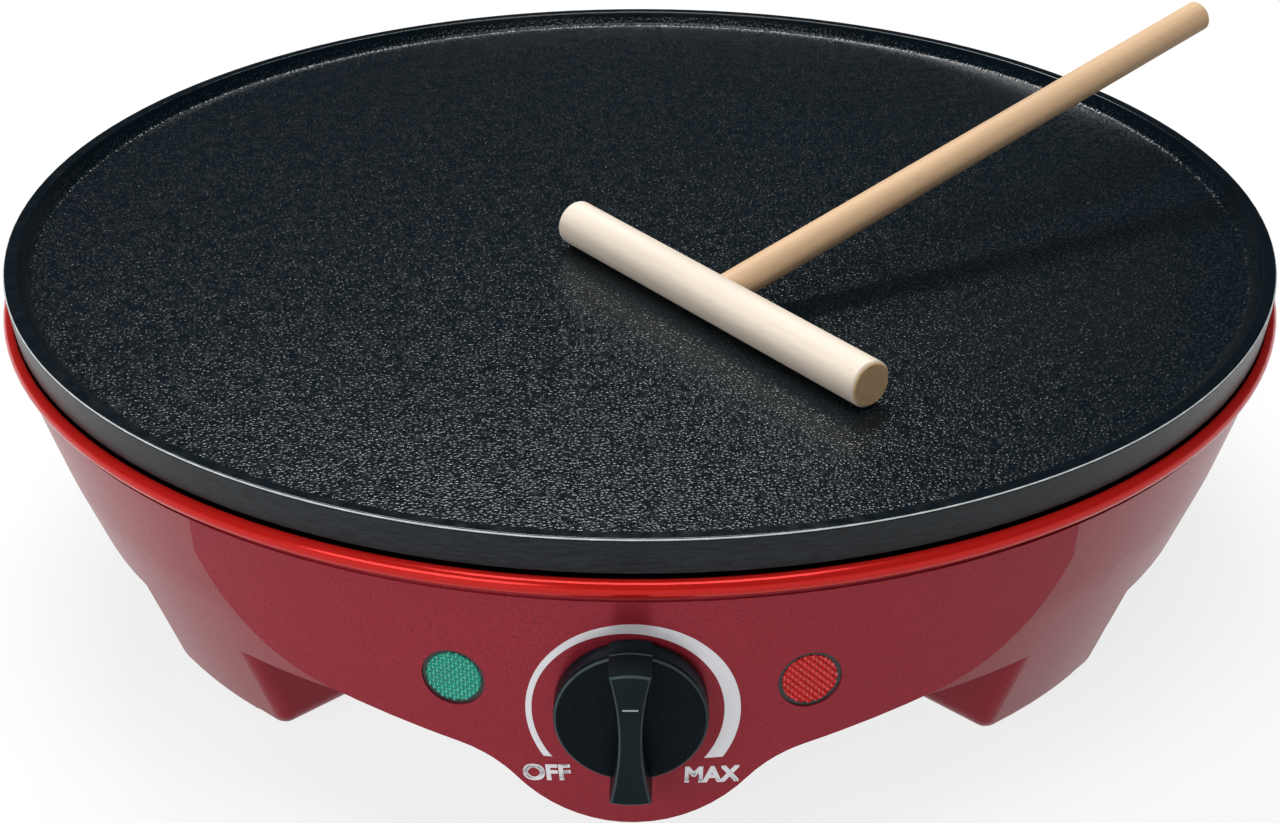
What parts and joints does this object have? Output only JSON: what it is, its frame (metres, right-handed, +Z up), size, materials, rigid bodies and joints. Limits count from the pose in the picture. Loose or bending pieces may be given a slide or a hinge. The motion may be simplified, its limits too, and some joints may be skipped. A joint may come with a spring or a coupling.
{
  "type": "electric crepe maker",
  "caption": "Countertop electric crepe maker: round non-stick griddle plate on a red moulded base with legs, thermostat dial, pilot lamps and a wooden batter spreader.",
  "frame": {"origin": "on the griddle plate's vertical axis, level with the undersides of the rubber feet", "axes": "+Z up, -Y to the front with the dial, +X to the right of someone facing the dial, +Y to the rear with the cord entry"},
  "size_m": [0.3141, 0.334, 0.1243],
  "materials": {
    "red_housing": "metallic red gloss",
    "griddle": "pebbled black non-stick coating",
    "element_steel": "oxidised stainless sheath",
    "ceramic_white": "matt glazed",
    "plated_steel": "zinc plated",
    "zinc_screws": "zinc plated",
    "shield_steel": "bright aluminised sheet",
    "washer_board": "heat-resisting board",
    "black_plastic": "fine matt texture",
    "black_screws": "black phosphated",
    "foot_rubber": "matt",
    "phenolic": "brown phenolic",
    "brass_parts": "plain",
    "copper": "copper",
    "fuse_metal": "plain",
    "green_lens": "clear moulded lattice",
    "red_lens": "clear moulded lattice",
    "lamp_glass": "clear",
    "block_plastic": "cream polyamide",
    "gland_rubber": "fine matt texture",
    "shaft_steel": "turned",
    "knob_plastic": "satin black",
    "bar_wood": "pale, oiled",
    "handle_wood": "tan, oiled",
    "connector_brass": "tinned brass",
    "lead_brown": "glass fibre sleeved lead",
    "lead_earth": "green and yellow lead"
  },
  "bodies": {
    "base": {"block_screws": "zinc_screws", "bottom_cover": "black_plastic", "capillary": "copper", "clamp_screws": "zinc_screws", "clip_screws": "zinc_screws", "cooking_plate": "griddle", "cord_gland": "gland_rubber", "cover_screws": "black_screws", "earth_lead": "lead_earth", "earth_screw": "zinc_screws", "earth_tag": "brass_parts", "element_clamps": "plated_steel", "element_insulators": "ceramic_white", "element_terminals": "plated_steel", "fuse_clip": "plated_steel", "fuse_leads": "lead_brown", "gland_nut": "black_plastic", "green_lamp_holder": "black_plastic", "green_lens": "green_lens", "green_neon_lamp": "lamp_glass", "heat_shield": "shield_steel", "heater_lead": "lead_brown", "heating_element": "element_steel", "housing": "red_housing", "insulating_washers": "washer_board", "lead_connectors": "connector_brass", "line_lead": "lead_brown", "plate_screws": "zinc_screws", "red_lamp_holder": "black_plastic", "red_lens": "red_lens", "red_neon_lamp": "lamp_glass", "rubber_feet": "foot_rubber", "sensor_bulb": "copper", "sensor_clip": "plated_steel", "terminal_block": "block_plastic", "terminal_sleeves": "brass_parts", "thermal_fuse": "fuse_metal", "thermostat": "phenolic", "thermostat_screws": "zinc_screws", "thermostat_tabs": "brass_parts", "wire_screws": "zinc_screws"},
    "knob": {"dial_shaft": "shaft_steel", "dial_knob": "knob_plastic"},
    "spreader": {"spreader_bar": "bar_wood", "spreader_handle": "handle_wood"}
  },
  "joints": [
    {"name": "knob_turn", "type": "hinge", "parent": "base", "child": "knob", "pos_m": [0, -0.15434, 0.0444], "axis": [0, -0.9994, -0.0349], "range_deg": [-130, 130]},
    {"name": "spreader_lift", "type": "slide", "parent": "base", "child": "spreader", "axis": [0, 0, 1], "range_m": [0, 0.15]}
  ]
}
